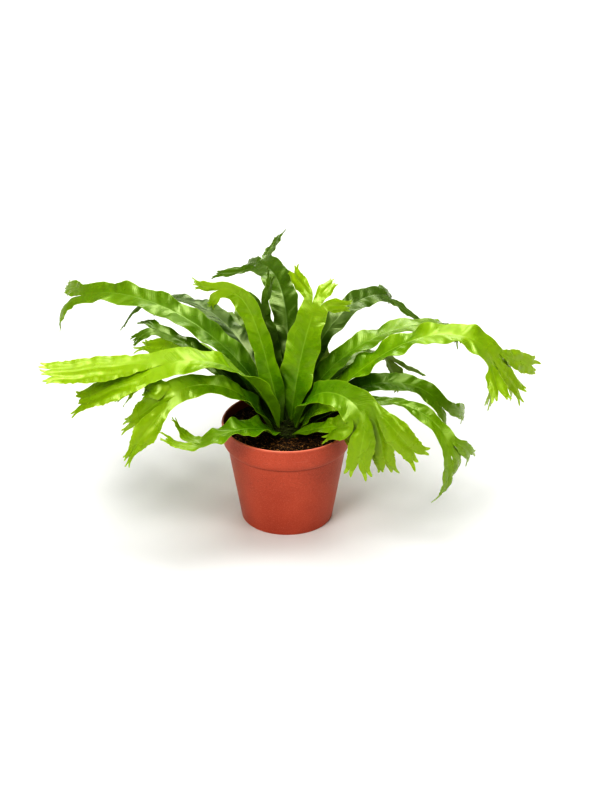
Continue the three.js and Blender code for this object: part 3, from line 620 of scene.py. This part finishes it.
class LeafSkin:
    """Patches of a leaf's upper face joined row to row, turned into a thin closed blade."""

    def __init__(self):
        """Empty skin: lists of points, of their marks and of quads, and a point count."""
        self.points, self.marks, self.quads, self.count = [], [], [], 0

    def patch(self, points, marks, base=None):
        """Adds a grid of points with its marks (thickness, across, along, rib, edge, tip);
        with a base, its first row is that earlier row of points."""
        rows, cols = points.shape[:2]
        skip = 0 if base is None else 1
        index = self.count + np.arange((rows - skip) * cols).reshape(rows - skip, cols)
        self.points.append(points[skip:].reshape(-1, 3))
        self.marks.append(marks[skip:].reshape(-1, marks.shape[-1]))
        self.count += index.size
        if base is not None:
            index = np.concatenate([base[None], index])
        quad = np.stack([index[:-1, :-1], index[1:, :-1], index[1:, 1:], index[:-1, 1:]], -1)
        self.quads.append(quad.reshape(-1, 4))
        return index

    def closed(self):
        """Points, quads and marks of the solid: the skin, its copy below along the point
        normals, and a wall along every edge that only one quad uses."""
        top = np.concatenate(self.points)
        marks = np.concatenate(self.marks)
        quads = np.concatenate(self.quads)
        cross = np.cross(top[quads[:, 2]] - top[quads[:, 0]], top[quads[:, 3]] - top[quads[:, 1]])
        normal = np.stack([np.bincount(quads.ravel(), np.repeat(cross[:, k], 4), len(top))
                           for k in range(3)], -1)
        normal /= np.linalg.norm(normal, axis=1, keepdims=True) + 1e-12
        n = len(top)
        start, stop = quads.ravel(), np.roll(quads, -1, 1).ravel()
        open_edge = ~np.isin(start * n + stop, stop * n + start)
        i, j = start[open_edge], stop[open_edge]
        wall = np.stack([j, i, i + n, j + n], -1)
        solid = np.concatenate([top, top - normal * marks[:, :1]])
        return solid, [quads, quads[:, ::-1] + n, wall], np.concatenate([marks, marks]), n


def strip(base, axes, rows, length, turn, turn_by, fall, roll, bow, width_at):
    """Strip that grows on from a row of points: at the share t it has turned by
    turn ease(t / turn_by) in its own plane, bent down by fall t and rolled by roll t;
    its half width is width_at(t), and its middle stands up by bow sin(pi t) (1 - v^2).
    What the first row is off that shape fades out over the first half."""
    t = np.linspace(0, 1, rows + 1)
    along, across, upper = (np.broadcast_to(a, (rows + 1, 3)) for a in axes)
    along, across = turn_pair(along, across, np.radians(turn) * ease(t / turn_by))
    along, down = turn_pair(along, -upper, np.radians(fall) * t)
    across, upper = turn_pair(across, -down, np.radians(roll) * t)
    run = np.zeros((rows + 1, 3))
    run[1:] = np.cumsum((along[1:] + along[:-1]) / 2, 0) * length / rows
    v = np.linspace(-1, 1, len(base))
    half = width_at(t)
    middle = (base[0] + base[-1]) / 2
    lift = (bow * np.sin(np.pi * t))[:, None] * (1 - v ** 2)
    points = (middle + run)[:, None] + across[:, None] * (half[:, None] * v)[..., None]
    points = points + upper[:, None] * lift[..., None]
    points += (base - points[0]) * (1 - step_up(t / 0.5))[:, None, None]
    return t, v, half, points, (along, across, upper)


def grow_frond(f):
    """Whole frond as a closed LeafSkin. Half width 1.8 + (w/2 - 1.8) ease((u - 0.02)/full)^1.3,
    narrowed below the crest; the blade is cupped, its margins wave by ruffle |v|^1.5
    sin(2 pi waves u) and crimp more finely at the very edge, and the web between the side
    veins swells a little. The crest's lobes are strips that grow on from the blade, with
    frilled, pleated and notched margins, and so are their points, each forked in two."""
    skin = LeafSkin()
    sub = 6  # columns of facets to one point of the crest
    lobes, teeth, seed = f["lobes"], f["teeth"], f["seed"]
    rows = int(round(f["length"] / 1.5))
    u = np.linspace(0, 1, rows + 1)
    along, across, upper = midrib_axes(f, u)
    point = midrib_path(f, u)
    neck = 1 - (1 - f["neck"]) * ease((u - 0.7) / 0.3) ** 2
    half = (1.8 + (f["width"] / 2 - 1.8) * ease((u - 0.02) / f["full"]) ** 1.3) * neck
    side = lobes * teeth * sub // 2
    k = np.arange(side + 1)
    beside = np.where(k == 0, 0, 0.09 + 0.91 * (k - 1) / (side - 1))
    even = ease((u - 0.72) / 0.28)[:, None] ** 2
    place = beside * (1 - even) + k / side * even
    v = np.concatenate([-place[:, :0:-1], place], 1)
    av = np.abs(v)
    fade = (ease((u - 0.12) / 0.25) * (1 - ease((u - 0.9) / 0.1)))[:, None]
    turns = 2 * np.pi * f["waves"] * u[:, None]
    start = f["phase"] + np.where(v > 0, 0, 2.2)
    wave = np.sin(turns + start) + 0.4 * np.sin(1.7 * turns + 2 * start + 1)
    cup = np.radians(f["cup"] * (1 - 0.8 * u))[:, None]
    s = f["length"] * u[:, None]
    crimp = np.sin(s * 0.34 + 5 * seed + start) + 0.6 * np.sin(s * 0.71 + 3 * seed + 2 * start)
    y = half[:, None] * v * (1 + 0.07 * av * fade * np.sin(1.3 * turns + 3 * start)
                             + 0.012 * av ** 3 * fade * crimp)
    slant = s - 0.7 * np.abs(y) + 2 * np.sin(s * 0.11 + 2 * seed)
    swell = np.sin(slant * 0.43 + start) + 0.5 * np.sin(slant * 0.71 + seed + 2 * start)
    lift = (np.abs(y) * np.sin(cup) + f["ruffle"] * fade * av ** 1.5 * wave
            + 0.18 * fade * av ** 4 * crimp + 0.28 * fade * 4 * av * (1 - 0.8 * av) * swell)
    points = point[:, None] + across[:, None] * (y * np.cos(cup))[..., None]
    points = points + upper[:, None] * lift[..., None]
    rib_half = np.maximum(0.085 * half, 0.9 + 0.5 * np.clip(1 - u / 0.15, 0, 1))[:, None]
    ridge = np.sqrt(np.clip(1 - (y / rib_half) ** 2, 0, 1))
    depth = 0.5 + 1.25 * (1 - 0.6 * u)[:, None] * ridge
    rib = (1 - step_up((u - 0.8) / 0.2))[:, None] + 0 * v
    total = f["length"] + f["crest"] + f["tooth"]
    marks = np.stack([depth, y, s + 0 * v, rib, av, s / total + 0 * v], -1)
    index = skin.patch(points, marks)
    for i in range(lobes):
        m = (2 * i + 1) / lobes - 1
        cols = slice(i * teeth * sub, (i + 1) * teeth * sub + 1)
        first = half[-1] / lobes
        wide = f["broad"] / 2
        narrowing = f["taper"] * (1 + 0.6 * draw(i + 17, seed))
        length = f["crest"] * (1 + 0.2 * draw(i + 1, seed) + f["skew"] * m)
        rows = max(10, int(round(length / 1.6)))
        turn = f["spread"] / 2 * m * (lobes / max(lobes - 1, 1)) + f["lean"] + 8 * draw(i + 2, seed)
        fall = f["fall"] + f["frill"] * (0.5 if i % 2 else -0.5) + 0.5 * f["frill"] * draw(i + 3, seed)
        t, lv, lobe_half, lobe, lobe_axes = strip(
            points[-1, cols], (along[-1], across[-1], upper[-1]), rows, length, turn, 0.5, fall,
            0.9 * f["frill"] * draw(i + 4, seed), 0.32 * wide * draw(i + 5, seed),
            lambda t: (first * (1 - 0.04 * ease(t / 0.12)) * (1 - step_up(t / 0.65))
                       + wide * step_up(t / 0.65) * (1 - narrowing * step_up((t - 0.6) / 0.4))))
        sway = length * t[:, None]
        frill = np.sin(0.33 * sway + 3 * seed + 2 * i + np.where(lv > 0, 0, 2))
        frill = frill + 0.5 * np.sin(0.7 * sway + seed + 5 * i)
        hold = (step_up(t / 0.3) * (1 - 0.5 * t))[:, None]
        lobe = lobe + lobe_axes[2][:, None] * (0.9 * hold * np.abs(lv) ** 2 * frill)[..., None]
        bulge = 0.4 * hold * lv * np.abs(lv) * np.sin(0.5 * sway + 4 * i + seed)
        lobe = lobe + lobe_axes[1][:, None] * bulge[..., None]
        fold = np.pi * teeth * (lv + 1) + 0.7 * np.sin(0.16 * sway + 2 * i + seed)
        pleat = 0.26 / teeth ** 2 * wide * step_up((t - 0.1) / 0.6)[:, None] * -np.cos(fold)
        lobe = lobe + lobe_axes[2][:, None] * pleat[..., None]
        jag = np.mod(sway / (5 + draw(i + 40, seed)) + np.where(lv > 0, 0, 0.4), 1) ** 2
        jag = jag * (0.6 + 0.4 * np.sin(0.19 * sway + 4 * i + seed))
        jag = (1.3 * step_up((t - 0.35) / 0.4))[:, None] * (jag - 0.2) * np.sign(lv) * lv ** 6
        lobe = lobe + lobe_axes[1][:, None] * jag[..., None]
        blend = step_up(t / 0.3)[:, None]
        side_mark = (1 - blend) * av[-1, cols] + blend * np.abs(lv)
        local = (1 - blend) * y[-1, cols] + blend * (lobe_half[:, None] * lv)
        far = f["length"] + length * t[:, None] + 0 * lv
        rib = (0.75 * step_up((t - 0.05) / 0.3) * (1 - 0.6 * t))[:, None] + 0 * lv
        lobe_depth = 0.5 + 0.45 * rib * np.clip(1 - (local / 1.1) ** 2, 0, 1) * (1 - t[:, None])
        lobe_marks = np.stack([lobe_depth, local, far, rib, side_mark, far / total], -1)
        lobe_index = skin.patch(lobe, lobe_marks, index[-1, cols])
        tip_axes = tuple(a[-1] for a in lobe_axes)
        for k in range(teeth):
            part = slice(k * sub, (k + 1) * sub + 1)
            place = 7 * i + k
            tooth = f["tooth"] * (1 + 0.6 * draw(place + 6, seed))
            root = lobe_half[-1] / teeth
            fork = 0.45 + 0.15 * draw(place + 3, seed)
            _, tv, tooth_half, grown, tooth_axes = strip(
                lobe[-1, part], tip_axes, 5, tooth * fork,
                ((2 * k + 1) / teeth - 1) * f["fan"] + 12 * draw(place + 9, seed), 0.9,
                0.4 * f["frill"] * draw(place + 12, seed), 0, 0.15 * root,
                lambda t: root * (1 - fork * t) ** 0.8 + 0.3 * t)
            base_marks = lobe_marks[-1, part]
            tooth_marks = np.repeat(base_marks[None], 6, 0)
            tooth_marks[..., 2] += tooth * fork * np.linspace(0, 1, 6)[:, None]
            tooth_marks[..., 0] = 0.5
            tooth_marks[1:, :, 4] = np.maximum(tooth_marks[1:, :, 4] * 0.6, np.abs(tv))
            tooth_index = skin.patch(grown, tooth_marks, lobe_index[-1, part])
            end_axes = tuple(a[-1] for a in tooth_axes)
            for half_side in (0, 1):
                cut = slice(half_side * sub // 2, half_side * sub // 2 + sub // 2 + 1)
                drawn = draw(place * 2 + half_side + 21, seed)
                point_root = tooth_half[-1] / 2
                _, _, _, tine, _ = strip(
                    grown[-1, cut], end_axes, 5, 0.85 * tooth * (1 - fork) * (1 + 0.45 * drawn),
                    (2 * half_side - 1) * (13 + 9 * abs(drawn)), 0.9,
                    0.6 * f["frill"] * draw(place + 15 + half_side, seed), 0, 0,
                    lambda t: point_root * (1 - t) ** 0.5 + 0.2 * t)
                tine_marks = np.repeat(tooth_marks[-1:, cut], 6, 0)
                tine_marks[..., 2] += tooth * 0.5 * np.linspace(0, 1, 6)[:, None]
                tine_marks[1:, :, 4] = 1
                skin.patch(tine, tine_marks, tooth_index[-1, cut])
    return skin.closed()


VEIN_SPACING = 0.19  # cm along the midrib, in the units of the blade's UV map
VEIN_SLANT = 0.55  # how far a side vein climbs for its way across the blade


def leaf_finish(name, dark, light, tip, back):
    """Waxy leaf surface. Colour clouds between dark and light, darker towards the stalk
    (partly the leaf's own colour, partly painted shade of the crowded fronds there) and the
    tip's colour towards the tip; side veins run out from the midrib, paler, with the web
    raised between them; the midrib and the margin are pale, the underside is duller, and
    the foot of the stalk is brown."""
    finish, add, ramp, mix, math_of = new_finish(name)
    where = add("TexCoord").outputs["Object"]
    spread = add("SeparateXYZ", {0: add("UVMap", uv_map="blade").outputs[0]})
    across, along = spread.outputs[0], spread.outputs[1]
    value = {key: add("Attribute", attribute_name=key).outputs["Fac"]
             for key in ("rib", "edge", "tip", "below", "tint")}
    cloud = add("TexNoise", {"Vector": where, "Scale": 38, "Detail": 3}).outputs[0]
    mottle = add("TexNoise", {"Vector": where, "Scale": 260, "Detail": 4}).outputs[0]
    shift = math_of("MULTIPLY_ADD", value["tint"], 0.22, cloud)
    leaf = mix(ramp(shift, (0.32, 0.0), (0.68, 1.0)), dark, light)
    leaf = mix(ramp(value["tip"], (0.25, 0.0), (0.95, 0.75)), leaf, tip)
    # partly painted shade: the blade is darker towards its stalk, partly its own colour and partly the
    # shade of the crowded fronds there
    leaf = mix(ramp(value["tip"], (0.03, 0.3), (0.42, 0.0)), leaf, (*(c * 0.7 for c in dark[:3]), 1))
    leaf = mix(ramp(mottle, (0.3, 0.16), (0.7, 0.0)), leaf, (*(c * 0.55 for c in dark[:3]), 1))
    # side veins: lines on which along - slant |across| is a whole number of spacings
    wander = math_of("MULTIPLY", math_of("SUBTRACT", mottle, 0.5), 0.05)
    climb = math_of("MULTIPLY", math_of("ABSOLUTE", across), VEIN_SLANT)
    slant = math_of("SUBTRACT", along, climb)
    phase = math_of("MULTIPLY", math_of("ADD", slant, wander), 2 * math.pi / VEIN_SPACING)
    vein = math_of("POWER", math_of("MULTIPLY_ADD", math_of("COSINE", phase), 0.5, 0.5), 5)
    between = ramp(value["edge"], (0.06, 0.0), (0.2, 1.0), (0.9, 1.0), (1.0, 0.0))
    vein = math_of("MULTIPLY", vein, between)
    leaf = mix(math_of("MULTIPLY", vein, 0.07), leaf, (*(c * 1.25 + 0.03 for c in light[:3]), 1))
    line = ramp(math_of("ABSOLUTE", across), (0.02, 1.0), (0.075, 0.0))
    line = math_of("MULTIPLY", line, value["rib"])
    rib_tone = (*(min(1, c * 1.25 + 0.12) for c in light[:3]), 1)
    leaf = mix(math_of("MULTIPLY", line, 0.38), leaf, rib_tone)
    rim = ramp(value["edge"], (0.92, 0.0), (0.99, 0.35))
    leaf = mix(rim, leaf, (*(min(1, c * 1.2 + 0.08) for c in tip[:3]), 1))
    leaf = mix(math_of("MULTIPLY", value["below"], 0.7), leaf, back)
    foot = ramp(value["tip"], (0.0, 0.7), (0.02, 0.0))
    leaf = mix(foot, leaf, (0.07, 0.04, 0.012, 1))
    web = math_of("SUBTRACT", math_of("MULTIPLY", mottle, 0.5), math_of("MULTIPLY", vein, 0.7))
    web = math_of("SUBTRACT", web, math_of("MULTIPLY", line, 1.2))
    bump = add("Bump", {"Height": web, "Strength": 0.22, "Distance": 0.0004})
    rough = ramp(cloud, (0.3, 0.22), (0.7, 0.33))
    rough = math_of("ADD", rough, math_of("MULTIPLY", value["below"], 0.22))
    add("shader", {"Base Color": leaf, "Roughness": rough, "Normal": bump.outputs[0],
                   "Specular IOR Level": 1.0, "Specular Tint": (0.88, 1, 0.55, 1),
                   "Subsurface Weight": 0.12, "Subsurface Radius": (0.5, 1.0, 0.15),
                   "Subsurface Scale": 0.0012})
    return finish


def plant_fronds(table, finish):
    """Grows every frond of a table and stands it for its solid. Its UV map blade holds the
    place across and along the leaf in cm. Its attributes hold how strong the midrib is,
    how near the margin and the tip are, which face it is, and the frond's own tint."""
    for node, row in table.items():
        f = {**COMMON, **row}
        solid, faces, marks, upper = grow_frond(f)
        leaf = make_piece("crested_" + node, solid, faces, finish, [node], sharp=55)
        mesh = leaf.data
        corner = np.zeros(len(mesh.loops), np.int32)
        mesh.loops.foreach_get("vertex_index", corner)
        blade = mesh.uv_layers.new(name="blade")
        blade.data.foreach_set("uv", (marks[corner, 1:3] / 10).ravel())
        below = (np.arange(len(solid)) >= upper).astype(float)
        tint = np.full(len(solid), draw(31, f["seed"]))
        for key, values in (("rib", marks[:, 3]), ("edge", marks[:, 4]), ("tip", marks[:, 5]),
                            ("below", below), ("tint", tint)):
            mesh.attributes.new(key, "FLOAT", "POINT").data.foreach_set("value", values)


young_finish = leaf_finish("young_leaf", (0.106, 0.24, 0.001, 1), (0.255, 0.42, 0.001, 1),
                           (0.33, 0.46, 0.001, 1), (0.21, 0.34, 0.004, 1))
plant_fronds(YOUNG, young_finish)

# ---- grown fronds ----------------------------------------------------------------
# The same leaves a season older: full green, a little darker towards the stalk, partly painted shade.
GROWN = {
    # longest, arching far to the left
    "frond_04": dict(ring=9, seat=151, heading=162, sweep=-19, rise=67, droop=-24, bend=1.15,
            length=246, width=25, roll=-19, twist=-9, full=0.24, neck=1, waves=6, crest=45,
            broad=17, tooth=6, spread=50, lean=-5, fall=45, seed=4),
    # tall, to the right
    "frond_10": dict(ring=9, seat=30, heading=23, sweep=-5, rise=70, droop=-10, bend=0.9,
            length=173, width=28, roll=4, twist=-14, full=0.24, neck=1.1, crest=42, broad=16,
            tooth=9, spread=70, lean=-5, fall=42, seed=13),
    # narrow, low, to the right
    "frond_18": dict(ring=14, seat=-10, heading=-8, sweep=-21, rise=37, droop=-58, bend=1.7,
            length=154, width=15, roll=-6, twist=33, full=0.24, neck=1.21, waves=3, lobes=3,
            teeth=2, crest=42, broad=14, tooth=11, spread=60, lean=10, fall=67, frill=29, fan=31,
            skew=-0.39, taper=0.13, seed=10),
    # low, to the right
    "frond_19": dict(ring=14, seat=13, heading=5, sweep=-5, rise=43, droop=-55, bend=1.7,
            length=147, width=22, roll=8, twist=28, full=0.28, neck=0.91, waves=2.5, crest=48,
            broad=16, tooth=11, spread=35, lean=23, fall=49, frill=29, fan=35, skew=0.55,
            taper=0.54, seed=214),
    # low, back right
    "frond_20": dict(ring=14, seat=44, heading=38, sweep=13, rise=48, droop=-43, bend=1.5,
            length=137, width=22, roll=1, twist=-3, full=0.24, neck=1, lobes=3, teeth=2, crest=36,
            broad=16, tooth=9, spread=90, fall=23, seed=24),
    # low, back
    "frond_21": dict(ring=14, seat=75, heading=78, sweep=-9, rise=40, droop=-58, bend=2, length=132,
            width=22, twist=2, full=0.24, neck=1, lobes=3, teeth=2, crest=33, broad=16, tooth=9,
            spread=88, lean=1, fall=11, frill=30, fan=26, seed=44),
    # low, back left
    "frond_22": dict(ring=14, seat=114, heading=112, sweep=-12, rise=38, droop=-9, bend=1.6,
            length=147, width=23, twist=-11, full=0.24, neck=1, crest=34, broad=16, tooth=9,
            spread=80, lean=1, fall=28, seed=26),
    # low, back left
    "frond_23": dict(ring=14, seat=147, heading=140, sweep=9, rise=43, droop=-40, bend=1.4,
            length=144, width=22, roll=-1, twist=-1, full=0.24, neck=1, lobes=3, teeth=2, crest=32,
            broad=16, tooth=9, spread=90, fall=21, seed=27),
}
grown_finish = leaf_finish("grown_leaf", (0.06, 0.15, 0.0005, 1), (0.16, 0.29, 0.0005, 1),
                           (0.255, 0.39, 0.001, 1), (0.138, 0.24, 0.003, 1))
plant_fronds(GROWN, grown_finish)

# ---- old fronds ------------------------------------------------------------------
# Last year's leaves, dark green and leathery, mostly at the back and underneath.
OLD = {
    # upright, between and behind the two tallest young ones
    "frond_03": dict(ring=4, seat=86, heading=118, sweep=17, rise=63, droop=80, bend=1.8,
            length=111, width=20, roll=-16, twist=7, full=0.32, crest=25, broad=11, spread=80,
            lean=2, fall=25, seed=3),
    # under the longest one
    "frond_05": dict(ring=9, seat=185, heading=168, sweep=-4, rise=47, droop=16, bend=2.6,
            length=142, width=20, roll=-9, twist=-2, full=0.28, crest=23, broad=11, spread=60,
            lean=-2, fall=44, seed=5),
    # back, to the left
    "frond_07": dict(ring=9, seat=124, heading=117, sweep=23, rise=43, droop=-17, bend=1.6,
            length=194, width=24, roll=3, twist=6, full=0.24, neck=1, crest=41, broad=16, tooth=9,
            spread=70, lean=-4, fall=42, seed=23),
    # back, in the middle
    "frond_08": dict(ring=9, seat=96, heading=79, sweep=38, rise=72, droop=-12, bend=1.7,
            length=176, width=26, roll=-18, twist=-3, full=0.24, neck=1, waves=5, lobes=3, teeth=2,
            crest=44, broad=16, tooth=9, spread=90, lean=-2, fall=20, seed=22),
    # back, to the right
    "frond_09": dict(ring=9, seat=66, heading=46, sweep=1, rise=71, droop=-21, bend=1.4, length=172,
            width=21, roll=5, twist=24, full=0.24, neck=1, crest=39, broad=16, tooth=9, spread=70,
            lean=-10, fall=31, seed=21),
}
old_finish = leaf_finish("old_leaf", (0.026, 0.07, 0.0002, 1), (0.068, 0.138, 0.0002, 1),
                         (0.112, 0.2, 0.0005, 1), (0.088, 0.158, 0.002, 1))
plant_fronds(OLD, old_finish)
